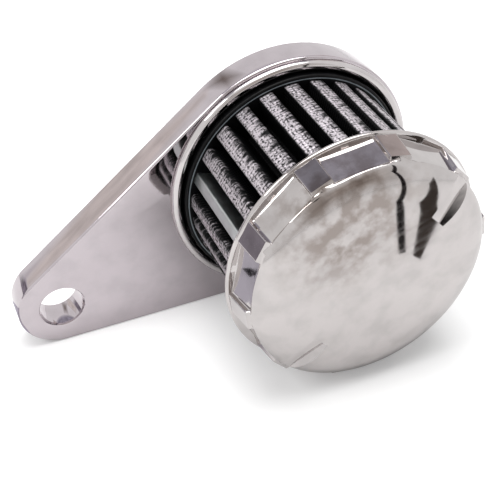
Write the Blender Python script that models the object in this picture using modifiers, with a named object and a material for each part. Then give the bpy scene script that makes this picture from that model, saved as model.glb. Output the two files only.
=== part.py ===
"""Crankcase breather filter: a pleated element under a ribbed chrome cap, on a teardrop bracket.

Every piece is modelled about the filter's axis. Local +Z runs from the bracket to the cap, z = 0 is
the bracket's front face, and the bracket's small end points along local -X. The empty "assembly"
lays the finished filter on its side, as it comes to rest, with its lowest point on the ground.
"""
from math import acos, atan2, cos, pi, radians, sin, tan

import bmesh
import bpy
from mathutils import Matrix, Vector

# Clearances between pieces that touch, and between a shank and the holes it passes through
SEAT_GAP = 0.0003
SHANK_CLEARANCE = 0.0003

# Bracket: a thick teardrop plate with one bolt hole and a counterbore that seats the filter
PLATE_BIG_RADIUS = 0.0300
PLATE_SMALL_RADIUS = 0.0100
PLATE_CENTRE_DISTANCE = 0.0603
PLATE_THICKNESS = 0.0076
PLATE_EDGE_ROUND = 0.0006
BOLT_HOLE_RADIUS = 0.0052
COUNTERBORE_DEPTH = 0.0042

# Spun cup in the counterbore, with a rolled rim on the bracket's face
CUP_INNER_RADIUS = 0.0271
CUP_WALL = 0.0007
CUP_CORNER_RADIUS = 0.0012
CUP_BEAD_RADIUS = 0.0008
GASKET_THICKNESS = 0.0008
GASKET_OUTER_RADIUS = 0.0210

# Hose nipple through the bracket, its seal, lock washer and nut
SHANK_RADIUS = 0.0070
NIPPLE_BORE_RADIUS = 0.0036
NIPPLE_FLANGE_RADIUS = 0.0110
NIPPLE_FLANGE_THICKNESS = 0.0020
NIPPLE_SEAL_THICKNESS = 0.0010
THREAD_RELIEF_RADIUS = 0.0050
THREAD_RUNOUT = 0.0012
BARB_CREST_RADIUS = 0.0056
BARB_ROOT_RADIUS = 0.0048
BARB_PITCH = 0.0038
BARB_COUNT = 4
WASHER_OUTER_RADIUS = 0.0108
WASHER_THICKNESS = 0.0014
WASHER_SPLIT = 0.0012
NUT_ACROSS_FLATS = 0.0210
NUT_THICKNESS = 0.0055

# Moulded base ring that the pleats are potted in
BASE_RING_HEIGHT = 0.0023
BASE_RING_BORE_RADIUS = 0.0125
BASE_LIP_ROUND = 0.0005
POTTING_DEPTH = 0.0022

# Pleated element
PLEAT_SLOTS = 26
SEAM_ANGLE = radians(143)
CREST_RADIUS = 0.0254
VALLEY_RADIUS = 0.0183
CREST_HALF_WIDTH = 0.00180
ROOT_HALF_WIDTH = 0.00160
CREST_ROUND = 0.00110
VALLEY_ROUND = 0.00045
SCREEN_WALL = 0.00030
MEDIA_WALL = 0.00050
TUBE_WALL = 0.0006
TUBE_HOLE_RADIUS = 0.0019
TUBE_HOLES_AROUND = 8
TUBE_HOLE_ROWS = 4
SEAM_HALF_WIDTH = 0.00135
SEAM_WALL = 0.00045

# Chrome cap: a domed face, a tapered wall of flat panels between ribs, and a beaded rim
CAP_RIM_Z = 0.0300
CAP_RIM_RADIUS = 0.0289
CAP_RIM_ROUND = 0.0006
CAP_PANEL_BACK = 0.0272
CAP_PANEL_FRONT = 0.02585
CAP_WALL_LENGTH = 0.0077
CAP_WALL = 0.0006
CAP_FACE = 0.0020
CAP_DOME_HEIGHT = 0.0040
CAP_FLAT_RADIUS = 0.0172
CAP_RIBS = 10
CAP_RIB_HALF_ANGLE = radians(5.1)
CAP_RIB_PHASE = radians(24)
CAP_RIB_BACK_HEIGHT = 0.00135
CAP_RIB_FRONT_HEIGHT = 0.0016
CAP_RIB_END_SLOPE = 0.0007
CAP_RIB_EDGE_ROUND = 0.00025
NOTCH_START_RADIUS = 0.0170
NOTCH_HALF_WIDTH = 0.0016
NOTCH_FALL = 0.36
NOTCH_SIDE_SLOPE = 0.9
CAP_SKIRT = 0.0006
TOP_POTTING_DEPTH = 0.0015

# Facets round the turned pieces
CUP_STEPS = 48
SMALL_STEPS = 24
SMOOTH_ANGLE = radians(30)

# Heights of the stack, worked out from the bracket's front face towards the cap
COUNTERBORE_FLOOR_Z = -COUNTERBORE_DEPTH
GASKET_Z = COUNTERBORE_FLOOR_Z + SEAT_GAP
CUP_FLOOR_Z = GASKET_Z + GASKET_THICKNESS + SEAT_GAP
CUP_INSIDE_Z = CUP_FLOOR_Z + CUP_WALL
BASE_RING_Z = CUP_INSIDE_Z + SEAT_GAP
POTTING_Z = BASE_RING_HEIGHT - POTTING_DEPTH
PLEAT_BOTTOM_Z = POTTING_Z + SEAT_GAP
CAP_FRONT_Z = CAP_RIM_Z + CAP_WALL_LENGTH
CAP_TOP_Z = CAP_FRONT_Z + CAP_DOME_HEIGHT
TOP_DISC_Z = CAP_RIM_Z + CAP_SKIRT
PLEAT_TOP_Z = TOP_DISC_Z + TOP_POTTING_DEPTH - SEAT_GAP
PLATE_BACK_Z = -PLATE_THICKNESS
PLEAT_PITCH = 2 * pi / PLEAT_SLOTS
MEDIA_OFFSET = SCREEN_WALL + SEAT_GAP
PACK_WALL = MEDIA_OFFSET + MEDIA_WALL
TUBE_RADIUS = VALLEY_RADIUS - PACK_WALL - SEAT_GAP


def clear_scene():
    """Remove everything that a new file opens with."""
    for old in list(bpy.data.objects):
        bpy.data.objects.remove(old, do_unlink=True)
    for old in list(bpy.data.collections):
        bpy.data.collections.remove(old)


def new_collection(name):
    """Add a collection under the scene."""
    collection = bpy.data.collections.new(name)
    bpy.context.scene.collection.children.link(collection)
    return collection


def finish(name, colour, roughness, metallic=0.0):
    """Make a plain finish for one sub-part."""
    material = bpy.data.materials.new(name)
    material.use_nodes = True
    shader = material.node_tree.nodes["Principled BSDF"]
    shader.inputs["Base Color"].default_value = (*colour, 1.0)
    shader.inputs["Roughness"].default_value = roughness
    shader.inputs["Metallic"].default_value = metallic
    return material


def chrome(name):
    """Polished chrome plate."""
    return finish(name, (0.75, 0.73, 0.72), 0.08, 1.0)


def rubber(name):
    """Black moulded rubber."""
    return finish(name, (0.012, 0.012, 0.013), 0.45)


def add_object(name, mesh, collection, material=None):
    """Put a mesh in a collection as one named object."""
    obj = bpy.data.objects.new(name, mesh)
    collection.objects.link(obj)
    if material:
        mesh.materials.append(material)
    if isinstance(mesh, bpy.types.Mesh) and mesh.polygons:
        mesh.shade_smooth()
        mesh.set_sharp_from_angle(angle=SMOOTH_ANGLE)
    return obj


def hide_cutter(obj):
    """Show a cutter as wire only, and keep it out of renders."""
    obj.hide_render = True
    obj.display_type = "WIRE"
    return obj


def arc(centre, radius, start, end, steps):
    """Points of an arc from one angle to another, both ends included."""
    turns = [start + (end - start) * i / steps for i in range(steps + 1)]
    return [(centre[0] + radius * cos(a), centre[1] + radius * sin(a)) for a in turns]


def side_offset(path, distance):
    """Offset an open path to its left, mitred at its corners."""
    points = [Vector(p) for p in path]
    runs = [(b - a).normalized() for a, b in zip(points, points[1:])]
    normals = [Vector((-d.y, d.x)) for d in runs]
    shifted = [points[0] + normals[0] * distance]
    for point, before, after in zip(points[1:], normals, normals[1:]):
        mitre = (before + after).normalized()
        shifted.append(point + mitre * distance / mitre.dot(after))
    shifted.append(points[-1] + normals[-1] * distance)
    return [tuple(p) for p in shifted]


def sheet_profile(path, wall):
    """Closed section of a sheet that follows a path along its middle."""
    return side_offset(path, wall / 2) + side_offset(path, -wall / 2)[::-1]


def clockwise(profile):
    """Order a closed section so that it runs down its outer side."""
    pairs = zip(profile, profile[1:] + profile[:1])
    area = sum(a[0] * b[1] - b[0] * a[1] for a, b in pairs)
    return profile[::-1] if area > 0 else profile


def turned(name, profile, steps, collection, material=None, closed=True):
    """Turn a section of (radius, z) points about the axis with a Screw modifier."""
    points = clockwise(profile) if closed else profile
    edges = [(i, i + 1) for i in range(len(points) - 1)]
    if closed:
        edges.append((len(points) - 1, 0))
    mesh = bpy.data.meshes.new(name)
    mesh.from_pydata([(r, 0.0, z) for r, z in points], edges, [])
    obj = add_object(name, mesh, collection, material)
    screw = obj.modifiers.new("turn", "SCREW")
    screw.axis = "Z"
    screw.angle = 2 * pi
    screw.steps = steps
    screw.render_steps = steps
    screw.use_merge_vertices = True
    screw.merge_threshold = 0.00001
    screw.use_smooth_shade = True
    return obj


def flat_piece(name, loops, bottom, top, collection, material=None, edge_round=0.0):
    """Fill flat outlines, thicken them from bottom to top, round their edges and weld the caps."""
    curve = bpy.data.curves.new(name + "_outline", "CURVE")
    curve.dimensions = "2D"
    curve.fill_mode = "BOTH"
    curve.extrude = (top - bottom) / 2 - edge_round
    curve.bevel_depth = edge_round
    curve.bevel_resolution = 1
    curve.offset = -edge_round
    for loop in loops:
        spline = curve.splines.new("POLY")
        spline.points.add(len(loop) - 1)
        for point, (x, y) in zip(spline.points, loop):
            point.co = (x, y, 0.0, 1.0)
        spline.use_cyclic_u = True
    guide = add_object(name + "_outline", curve, collection)
    guide.location.z = (bottom + top) / 2
    bpy.context.view_layer.update()
    evaluated = guide.evaluated_get(bpy.context.evaluated_depsgraph_get())
    mesh = bpy.data.meshes.new_from_object(evaluated)
    mesh.transform(guide.matrix_world)
    bpy.data.objects.remove(guide)
    weld(mesh)
    return add_object(name, mesh, collection, material)


def weld(mesh):
    """Merge the points that a curve leaves double, and face the surface outwards."""
    shape = bmesh.new()
    shape.from_mesh(mesh)
    bmesh.ops.remove_doubles(shape, verts=shape.verts, dist=0.000002)
    bmesh.ops.recalc_face_normals(shape, faces=shape.faces)
    shape.to_mesh(mesh)
    shape.free()


def cylinder(name, radius, bottom, top, collection, material=None, steps=SMALL_STEPS, far_radius=None):
    """A capped cylinder or cone on the local Z axis."""
    shape = bmesh.new()
    end_radius = radius if far_radius is None else far_radius
    bmesh.ops.create_cone(shape, cap_ends=True, segments=steps, radius1=radius, radius2=end_radius,
                          depth=top - bottom, matrix=Matrix.Translation((0, 0, (bottom + top) / 2)))
    mesh = bpy.data.meshes.new(name)
    shape.to_mesh(mesh)
    shape.free()
    return add_object(name, mesh, collection, material)


def boolean(target, cutter, operation="DIFFERENCE"):
    """Cut or join one object with another."""
    modifier = target.modifiers.new(cutter.name, "BOOLEAN")
    modifier.object = hide_cutter(cutter)
    modifier.operation = operation
    modifier.solver = "EXACT"


def tangent_angle():
    """Angle between the bracket's centre line and the radius to where its sides leave an end."""
    return acos((PLATE_BIG_RADIUS - PLATE_SMALL_RADIUS) / PLATE_CENTRE_DISTANCE)


def teardrop():
    """The bracket's outline: two arcs joined by their common tangents."""
    turn = tangent_angle()
    big = arc((0, 0), PLATE_BIG_RADIUS, -(pi - turn), pi - turn, 46)
    small = arc((-PLATE_CENTRE_DISTANCE, 0), PLATE_SMALL_RADIUS, pi - turn, pi + turn, 16)
    return big + small


def circle(centre, radius, steps):
    """Points once round a circle."""
    return arc(centre, radius, 0, 2 * pi, steps)[:-1]


def mounting_plate(parts, cutters):
    """Teardrop bracket with a bolt hole, the nipple's hole, rounded edges and a counterbore."""
    bolt_hole = circle((-PLATE_CENTRE_DISTANCE, 0), BOLT_HOLE_RADIUS, 32)
    nipple_hole = circle((0, 0), SHANK_RADIUS + SHANK_CLEARANCE, SMALL_STEPS)
    plate = flat_piece("mounting_plate", [teardrop(), bolt_hole, nipple_hole], PLATE_BACK_Z, 0.0,
                       parts, chrome("plate_chrome"), PLATE_EDGE_ROUND)
    seat = CUP_INNER_RADIUS + CUP_WALL + SEAT_GAP
    recess = cylinder("counterbore_cutter", seat, COUNTERBORE_FLOOR_Z, PLATE_THICKNESS, cutters,
                      steps=CUP_STEPS)
    boolean(plate, recess)
    return plate


def base_cup(parts):
    """Spun cup: a floor round the shank, a wall, and a rim rolled out over the bracket's face."""
    floor_z = CUP_FLOOR_Z + CUP_WALL / 2
    wall_r = CUP_INNER_RADIUS + CUP_WALL / 2
    corner = (wall_r - CUP_CORNER_RADIUS, floor_z + CUP_CORNER_RADIUS)
    path = [(SHANK_RADIUS + SHANK_CLEARANCE, floor_z)]
    path += arc(corner, CUP_CORNER_RADIUS, -pi / 2, 0, 3)
    path += arc((wall_r + CUP_BEAD_RADIUS, SEAT_GAP), CUP_BEAD_RADIUS, pi, 0, 5)
    return turned("base_cup", sheet_profile(path, CUP_WALL), CUP_STEPS, parts, chrome("cup_chrome"))


def flat_ring(name, inner, outer, bottom, thickness, parts, material, steps=SMALL_STEPS):
    """A flat washer or gasket."""
    top = bottom + thickness
    section = [(outer, top), (outer, bottom), (inner, bottom), (inner, top)]
    return turned(name, section, steps, parts, material)


def seals(parts):
    """Gasket under the cup, and the seal under the nipple's flange."""
    hole = SHANK_RADIUS + SHANK_CLEARANCE
    flat_ring("base_gasket", hole, GASKET_OUTER_RADIUS, GASKET_Z, GASKET_THICKNESS, parts,
              rubber("gasket_rubber"))
    flat_ring("nipple_seal", hole, NIPPLE_FLANGE_RADIUS, CUP_INSIDE_Z + SEAT_GAP,
              NIPPLE_SEAL_THICKNESS, parts, rubber("seal_rubber"))


def nipple_flange_z():
    """Underside of the nipple's flange, which presses its seal on the cup's floor."""
    return CUP_INSIDE_Z + SEAT_GAP + NIPPLE_SEAL_THICKNESS + SEAT_GAP


def nut_top_z():
    """Face of the nut towards the bracket, behind the lock washer."""
    return PLATE_BACK_Z - SEAT_GAP - WASHER_THICKNESS - SEAT_GAP


def hose_nipple(parts):
    """Turned nipple: flange, threaded shank through the bracket, and a barbed hose end."""
    flange_z = nipple_flange_z()
    flange_top = flange_z + NIPPLE_FLANGE_THICKNESS
    edge = NIPPLE_FLANGE_THICKNESS / 5
    shank_end = nut_top_z() - NUT_THICKNESS - THREAD_RUNOUT
    relief_end = shank_end - THREAD_RUNOUT
    section = [(NIPPLE_BORE_RADIUS, flange_top), (NIPPLE_FLANGE_RADIUS - edge, flange_top)]
    section += [(NIPPLE_FLANGE_RADIUS, flange_top - edge), (NIPPLE_FLANGE_RADIUS, flange_z)]
    section += [(SHANK_RADIUS, flange_z), (SHANK_RADIUS, shank_end + edge)]
    section += [(SHANK_RADIUS - edge, shank_end), (THREAD_RELIEF_RADIUS, shank_end)]
    section += [(THREAD_RELIEF_RADIUS, relief_end)]
    for i in range(BARB_COUNT):
        top = relief_end - i * BARB_PITCH
        section += [(BARB_ROOT_RADIUS, top), (BARB_CREST_RADIUS, top - BARB_PITCH * 0.12)]
        section += [(BARB_CREST_RADIUS, top - BARB_PITCH * 0.24)]
    tip = relief_end - BARB_COUNT * BARB_PITCH
    section += [(BARB_ROOT_RADIUS, tip), (NIPPLE_BORE_RADIUS, tip)]
    return turned("hose_nipple", section, SMALL_STEPS, parts, chrome("nipple_plating"))


def lock_washer(parts, cutters):
    """Split spring washer between the bracket and the nut."""
    bottom = PLATE_BACK_Z - SEAT_GAP - WASHER_THICKNESS
    washer = flat_ring("lock_washer", SHANK_RADIUS + SHANK_CLEARANCE, WASHER_OUTER_RADIUS, bottom,
                       WASHER_THICKNESS, parts, finish("spring_steel", (0.35, 0.35, 0.36), 0.35, 1.0))
    size = 2 * WASHER_THICKNESS
    split = bmesh.new()
    bmesh.ops.create_cube(split, size=1.0)
    bmesh.ops.scale(split, verts=split.verts, vec=(WASHER_OUTER_RADIUS, WASHER_SPLIT, 2 * size))
    slant = Matrix.Rotation(radians(20), 4, "X")
    place = Matrix.Translation((0, -WASHER_OUTER_RADIUS, bottom + WASHER_THICKNESS / 2))
    quarter = Matrix.Rotation(pi / 2, 4, "Z")
    bmesh.ops.transform(split, verts=split.verts, matrix=place @ quarter @ slant)
    mesh = bpy.data.meshes.new("washer_split_cutter")
    split.to_mesh(mesh)
    split.free()
    boolean(washer, add_object("washer_split_cutter", mesh, cutters))
    return washer


def lock_nut(parts, cutters):
    """Hexagonal jam nut with turned corners on both faces."""
    top = nut_top_z()
    bottom = top - NUT_THICKNESS
    corner = NUT_ACROSS_FLATS / 2 / cos(pi / 6)
    nut = cylinder("lock_nut", corner, bottom, top, parts, chrome("nut_plating"), steps=6)
    flat = NUT_ACROSS_FLATS / 2 * 0.97
    drop = (corner - flat) * tan(radians(30))
    outer = corner + drop
    section = [(0, top), (flat, top), (outer, top - (outer - flat) * tan(radians(30)))]
    section += [(outer, bottom + (outer - flat) * tan(radians(30))), (flat, bottom), (0, bottom)]
    barrel = turned("nut_corner_guide", section, SMALL_STEPS, cutters, closed=False)
    boolean(nut, barrel, "INTERSECT")
    hole = cylinder("nut_hole_cutter", SHANK_RADIUS + SHANK_CLEARANCE, bottom - SEAT_GAP,
                    top + SEAT_GAP, cutters)
    boolean(nut, hole)
    return nut


def rounded_loop(corners, offset, steps):
    """Offset a closed outline inwards and round its corners; corners are (point, radius)."""
    points = [Vector(p) for p, _ in corners]
    count = len(points)
    runs = [(points[(i + 1) % count] - points[i]).normalized() for i in range(count)]
    loop = []
    for i, (_, radius) in enumerate(corners):
        before, after = runs[i - 1], runs[i]
        left_before = Vector((-before.y, before.x))
        left_after = Vector((-after.y, after.x))
        mitre = (left_before + left_after).normalized()
        corner = points[i] + mitre * offset / mitre.dot(left_after)
        turn = atan2(before.x * after.y - before.y * after.x, before.dot(after))
        if not steps:
            loop.append(tuple(corner))
            continue
        bend = max(radius - offset, 0.00003) if turn > 0 else radius + offset
        back = bend * tan(abs(turn) / 2)
        start = corner - before * back
        centre = start + left_before * (bend if turn > 0 else -bend)
        swing = start - centre
        loop += [tuple(centre + Matrix.Rotation(turn * j / steps, 2) @ swing) for j in range(steps + 1)]
    return loop


def pleat_corners():
    """Corners of the folded sheet's outer surface, one finger for each slot but the seam's."""
    corners = []
    for slot in range(1, PLEAT_SLOTS):
        angle = SEAM_ANGLE + slot * PLEAT_PITCH
        out = Vector((cos(angle), sin(angle)))
        along = Vector((-sin(angle), cos(angle)))
        corners += [(out * VALLEY_RADIUS - along * ROOT_HALF_WIDTH, VALLEY_ROUND),
                    (out * CREST_RADIUS - along * CREST_HALF_WIDTH, CREST_ROUND),
                    (out * CREST_RADIUS + along * CREST_HALF_WIDTH, CREST_ROUND),
                    (out * VALLEY_RADIUS + along * ROOT_HALF_WIDTH, VALLEY_ROUND)]
    return corners


def pleated_layer(name, depth, wall, steps, parts, material):
    """One layer of the folded sheet, from a depth below its outer surface."""
    corners = pleat_corners()
    loops = [rounded_loop(corners, depth, steps), rounded_loop(corners, depth + wall, steps)]
    return flat_piece(name, loops, PLEAT_BOTTOM_Z, PLEAT_TOP_Z, parts, material)


def pleat_pack(parts):
    """The element's wire screen, with the filter media folded behind it."""
    pleated_layer("wire_screen", 0.0, SCREEN_WALL, 2, parts,
                  finish("wire_cloth", (0.6, 0.6, 0.6), 0.4, 1.0))
    pleated_layer("filter_media", MEDIA_OFFSET, MEDIA_WALL, 1, parts,
                  finish("media_gauze", (0.03, 0.03, 0.03), 0.9))


def seam_floor_radius():
    """Radius of the wide valley's flat floor, where the seam strip stands."""
    half_gap = PLEAT_PITCH
    return VALLEY_RADIUS * cos(half_gap) + ROOT_HALF_WIDTH * sin(half_gap)


def seam_loop(grow=0.0):
    """Outline of the folded seam strip, or of the pocket that takes it."""
    inner = seam_floor_radius() + SEAT_GAP - grow
    outer = CREST_RADIUS + grow
    half = SEAM_HALF_WIDTH + grow
    section = [(inner, -half), (outer, -half), (outer, half), (inner, half)]
    if not grow:
        slot = half - SEAM_WALL
        section += [(inner, slot), (outer - SEAM_WALL, slot), (outer - SEAM_WALL, -slot), (inner, -slot)]
    turn = Matrix.Rotation(SEAM_ANGLE, 2)
    return [tuple(turn @ Vector(p)) for p in section]


def seam_strip(parts):
    """Folded metal strip that closes the ends of the pleated sheet."""
    return flat_piece("seam_strip", [seam_loop()], PLEAT_BOTTOM_Z, PLEAT_TOP_Z, parts,
                      finish("seam_steel", (0.5, 0.52, 0.52), 0.35, 1.0))


def pocket_cutters(name, bottom, top, cutters):
    """The space that the pleats and the seam strip take up in a moulded end."""
    pleats = flat_piece(name + "_pleat_pocket", [rounded_loop(pleat_corners(), -SEAT_GAP, 0)],
                        bottom, top, cutters)
    strip = flat_piece(name + "_seam_pocket", [seam_loop(SEAT_GAP)], bottom, top, cutters)
    return pleats, strip


def base_end_ring(parts, cutters):
    """Moulded ring that seats in the cup and holds the pleats' lower ends."""
    outer = CUP_INNER_RADIUS - SEAT_GAP
    corner = CUP_CORNER_RADIUS
    lip = (outer - BASE_LIP_ROUND, BASE_RING_HEIGHT - BASE_LIP_ROUND)
    section = [(BASE_RING_BORE_RADIUS, BASE_RING_HEIGHT)]
    section += arc(lip, BASE_LIP_ROUND, pi / 2, 0, 3)
    section += [(outer, BASE_RING_Z + corner), (outer - corner, BASE_RING_Z)]
    section += [(BASE_RING_BORE_RADIUS, BASE_RING_Z)]
    ring = turned("base_end_ring", section, CUP_STEPS, parts, rubber("base_rubber"))
    for cutter in pocket_cutters("base", POTTING_Z, BASE_RING_HEIGHT + POTTING_DEPTH, cutters):
        boolean(ring, cutter)
    return ring


def inner_tube(parts, cutters):
    """Perforated tube that backs the pleats' inner folds."""
    tube = turned("inner_tube", [(TUBE_RADIUS, PLEAT_TOP_Z), (TUBE_RADIUS, PLEAT_BOTTOM_Z),
                                 (TUBE_RADIUS - TUBE_WALL, PLEAT_BOTTOM_Z),
                                 (TUBE_RADIUS - TUBE_WALL, PLEAT_TOP_Z)],
                  TUBE_HOLES_AROUND * 3, parts, finish("tube_steel", (0.45, 0.45, 0.45), 0.4, 1.0))
    holes = bmesh.new()
    low, high = BASE_RING_HEIGHT, TOP_DISC_Z
    for row in range(TUBE_HOLE_ROWS):
        z = low + (high - low) * (row + 0.5) / TUBE_HOLE_ROWS
        for i in range(TUBE_HOLES_AROUND):
            turn = Matrix.Rotation(2 * pi * (i + 0.5 * (row % 2)) / TUBE_HOLES_AROUND, 4, "Z")
            place = Matrix.Translation((TUBE_RADIUS, 0, z)) @ Matrix.Rotation(pi / 2, 4, "Y")
            bmesh.ops.create_cone(holes, cap_ends=True, segments=6, radius1=TUBE_HOLE_RADIUS,
                                  radius2=TUBE_HOLE_RADIUS, depth=6 * TUBE_WALL, matrix=turn @ place)
    mesh = bpy.data.meshes.new("tube_hole_cutters")
    holes.to_mesh(mesh)
    holes.free()
    boolean(tube, add_object("tube_hole_cutters", mesh, cutters))
    return tube


def dome(inset, drop, steps):
    """Rounded face of the cap, out to its wall, set in at the wall and dropped at the top."""
    across = CAP_PANEL_FRONT - CAP_FLAT_RADIUS - inset
    rise = CAP_DOME_HEIGHT - drop / 2
    base = CAP_FRONT_Z - drop / 2
    turns = [pi / 2 * (1 - i / steps) for i in range(steps + 1)]
    return [(CAP_FLAT_RADIUS + across * cos(a), base + rise * sin(a)) for a in turns]


def panel_distance(z):
    """Distance of the cap's flat panels from the axis at a height."""
    share = (z - CAP_RIM_Z) / CAP_WALL_LENGTH
    return CAP_PANEL_BACK + (CAP_PANEL_FRONT - CAP_PANEL_BACK) * share


def cap_rim():
    """Half-round bead round the cap's open end, from its front side to its back."""
    centre = (CAP_RIM_RADIUS - CAP_RIM_ROUND, CAP_RIM_Z + CAP_RIM_ROUND)
    return arc(centre, CAP_RIM_ROUND, pi / 2, -pi / 2, 4)


def cap_turns():
    """Angles round the cap, each with its angle from the middle of the nearest panel."""
    half = pi / CAP_RIBS - CAP_RIB_HALF_ANGLE
    turns = []
    for i in range(CAP_RIBS):
        middle = CAP_RIB_PHASE + (2 * i + 1) * pi / CAP_RIBS
        turns += [(middle + half * share, half * share) for share in (-1, -0.5, 0, 0.5, 1)]
        turns.append((middle + pi / CAP_RIBS, half))
    return turns


def cap_ring(shape, round_radius, z, flat=0.0, weight=0.0):
    """One ring of points: round, or drawn by a weight to the panels' outline at a distance."""
    ring = []
    for turn, off in cap_turns():
        r = round_radius * (1 - weight) + flat / cos(off) * weight
        ring.append(shape.verts.new((r * cos(turn), r * sin(turn), z)))
    return ring


def cap_shell(parts):
    """The cap without its ribs, lofted through rings from the top, round the rim and back inside."""
    shape = bmesh.new()
    rings = []
    steps = 6
    for i in range(steps + 1):
        a = pi / 2 * (1 - i / steps)
        z = CAP_FRONT_Z + CAP_DOME_HEIGHT * sin(a)
        rings.append(cap_ring(shape, CAP_FLAT_RADIUS, z, CAP_PANEL_FRONT, cos(a)))
    wall_end = CAP_RIM_Z + CAP_RIM_ROUND * 2
    rings.append(cap_ring(shape, 0.0, wall_end, panel_distance(wall_end), 1.0))
    rings += [cap_ring(shape, r, z) for r, z in cap_rim()]
    rings.append(cap_ring(shape, panel_distance(CAP_RIM_Z) - CAP_WALL, CAP_RIM_Z))
    rings += [cap_ring(shape, r, z) for r, z in dome(CAP_WALL, CAP_FACE, 4)[::-1]]
    for upper, lower in zip(rings, rings[1:]):
        for i in range(len(upper)):
            shape.faces.new((upper[i - 1], lower[i - 1], lower[i], upper[i]))
    for ring in (rings[0], rings[-1]):
        shape.faces.new(ring)
    bmesh.ops.recalc_face_normals(shape, faces=shape.faces)
    mesh = bpy.data.meshes.new("top_cap")
    shape.to_mesh(mesh)
    shape.free()
    return add_object("top_cap", mesh, parts, chrome("cap_chrome"))


def rib_points():
    """Corners of one rib on the cap's wall, at angle zero: back end, then front end."""
    back = CAP_RIM_Z + CAP_RIM_ROUND
    front = CAP_FRONT_Z
    root = CAP_WALL / 2
    side = tan(CAP_RIB_HALF_ANGLE)
    tops = [(panel_distance(back) + CAP_RIB_BACK_HEIGHT, back),
            (panel_distance(front) + CAP_RIB_FRONT_HEIGHT, front)]
    roots = [(panel_distance(back) - root, back),
             (panel_distance(front) - root, front + CAP_RIB_END_SLOPE)]
    return [(r, sign * r * side, z) for r, z in (*roots, *tops) for sign in (-1, 1)]


def cap_ribs(cutters):
    """The ribs round the cap's wall, each the hull of its eight corners with rounded edges."""
    ribs = bmesh.new()
    for i in range(CAP_RIBS):
        turn = Matrix.Rotation(CAP_RIB_PHASE + 2 * pi * i / CAP_RIBS, 4, "Z")
        corners = [ribs.verts.new(turn @ Vector(p)) for p in rib_points()]
        hull = bmesh.ops.convex_hull(ribs, input=corners)["geom"]
        faces = [item for item in hull if isinstance(item, bmesh.types.BMFace)]
        bmesh.ops.dissolve_limit(ribs, angle_limit=radians(2), verts=corners,
                                 edges=list({e for f in faces for e in f.edges}))
    bmesh.ops.bevel(ribs, geom=ribs.edges[:], offset=CAP_RIB_EDGE_ROUND, segments=1, profile=0.5,
                    affect="EDGES", material=-1)
    bmesh.ops.recalc_face_normals(ribs, faces=ribs.faces)
    mesh = bpy.data.meshes.new("cap_rib_guides")
    ribs.to_mesh(mesh)
    ribs.free()
    return add_object("cap_rib_guides", mesh, cutters)


def notch_cutter(name, angle, cutters):
    """A trough with a flat floor that falls outwards over the cap's rounded face."""
    reach = CAP_RIM_RADIUS - NOTCH_START_RADIUS
    high = CAP_DOME_HEIGHT
    wedge = bmesh.new()
    corners = []
    for r in (NOTCH_START_RADIUS, NOTCH_START_RADIUS + reach):
        keel = CAP_TOP_Z - (r - NOTCH_START_RADIUS) * NOTCH_FALL
        half = NOTCH_HALF_WIDTH
        wide = half + high / NOTCH_SIDE_SLOPE
        corners += [(r, -half, keel), (r, half, keel)]
        corners += [(r, -wide, keel + high), (r, wide, keel + high)]
    turn = Matrix.Rotation(angle, 4, "Z")
    verts = [wedge.verts.new(turn @ Vector(p)) for p in corners]
    bmesh.ops.convex_hull(wedge, input=verts)
    bmesh.ops.recalc_face_normals(wedge, faces=wedge.faces)
    mesh = bpy.data.meshes.new(name)
    wedge.to_mesh(mesh)
    wedge.free()
    return add_object(name, mesh, cutters)


def top_cap(parts, cutters):
    """Chrome cap: domed face, panels and ribs round its wall, beaded rim, two notches in its face."""
    cap = cap_shell(parts)
    boolean(cap, cap_ribs(cutters), "UNION")
    for i in range(2):
        boolean(cap, notch_cutter("notch_cutter_%d" % (i + 1), CAP_RIB_PHASE + i * pi, cutters))
    return cap


def top_end_disc(parts, cutters):
    """Moulded disc that fills the cap and holds the pleats' upper ends."""
    inset = CAP_WALL + SEAT_GAP
    drop = CAP_FACE + SEAT_GAP
    section = [(0, CAP_TOP_Z - drop)] + dome(inset, drop, 4)
    section += [(panel_distance(TOP_DISC_Z) - inset, TOP_DISC_Z), (0, TOP_DISC_Z)]
    disc = turned("top_end_disc", section, CUP_STEPS, parts, rubber("disc_rubber"), closed=False)
    ceiling = PLEAT_TOP_Z + SEAT_GAP
    for cutter in pocket_cutters("top", TOP_DISC_Z - TOP_POTTING_DEPTH, ceiling, cutters):
        boolean(disc, cutter)
    return disc


def rest_tilt():
    """Angle by which the axis dips towards the cap when the bracket's edge and the cap touch."""
    edge_z = -PLATE_EDGE_ROUND
    rim = (CAP_RIM_RADIUS, CAP_RIM_Z + CAP_RIM_ROUND)
    rib = (panel_distance(CAP_FRONT_Z) + CAP_RIB_FRONT_HEIGHT, CAP_FRONT_Z)
    return min(atan2(PLATE_BIG_RADIUS - r, z - edge_z) for r, z in (rim, rib))


def lay_down(parts, cutters):
    """Turn the assembly on its side, and set its lowest point on the ground under its middle."""
    assembly = bpy.data.objects.new("assembly", None)
    bpy.context.scene.collection.objects.link(assembly)
    for piece in (*parts.objects, *cutters.objects):
        piece.parent = assembly
    edge_down = pi / 2 - tangent_angle()
    turn = Matrix.Rotation(pi / 2 + rest_tilt(), 4, "X") @ Matrix.Rotation(edge_down, 4, "Z")
    assembly.matrix_world = turn
    bpy.context.view_layer.update()
    graph = bpy.context.evaluated_depsgraph_get()
    corners = []
    for piece in parts.objects:
        shape = piece.evaluated_get(graph)
        corners += [shape.matrix_world @ v.co for v in shape.to_mesh().vertices]
        shape.to_mesh_clear()
    low = Vector([min(c[i] for c in corners) for i in range(3)])
    high = Vector([max(c[i] for c in corners) for i in range(3)])
    middle = (low + high) / 2
    assembly.matrix_world = Matrix.Translation((-middle.x, -middle.y, -low.z)) @ turn


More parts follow.
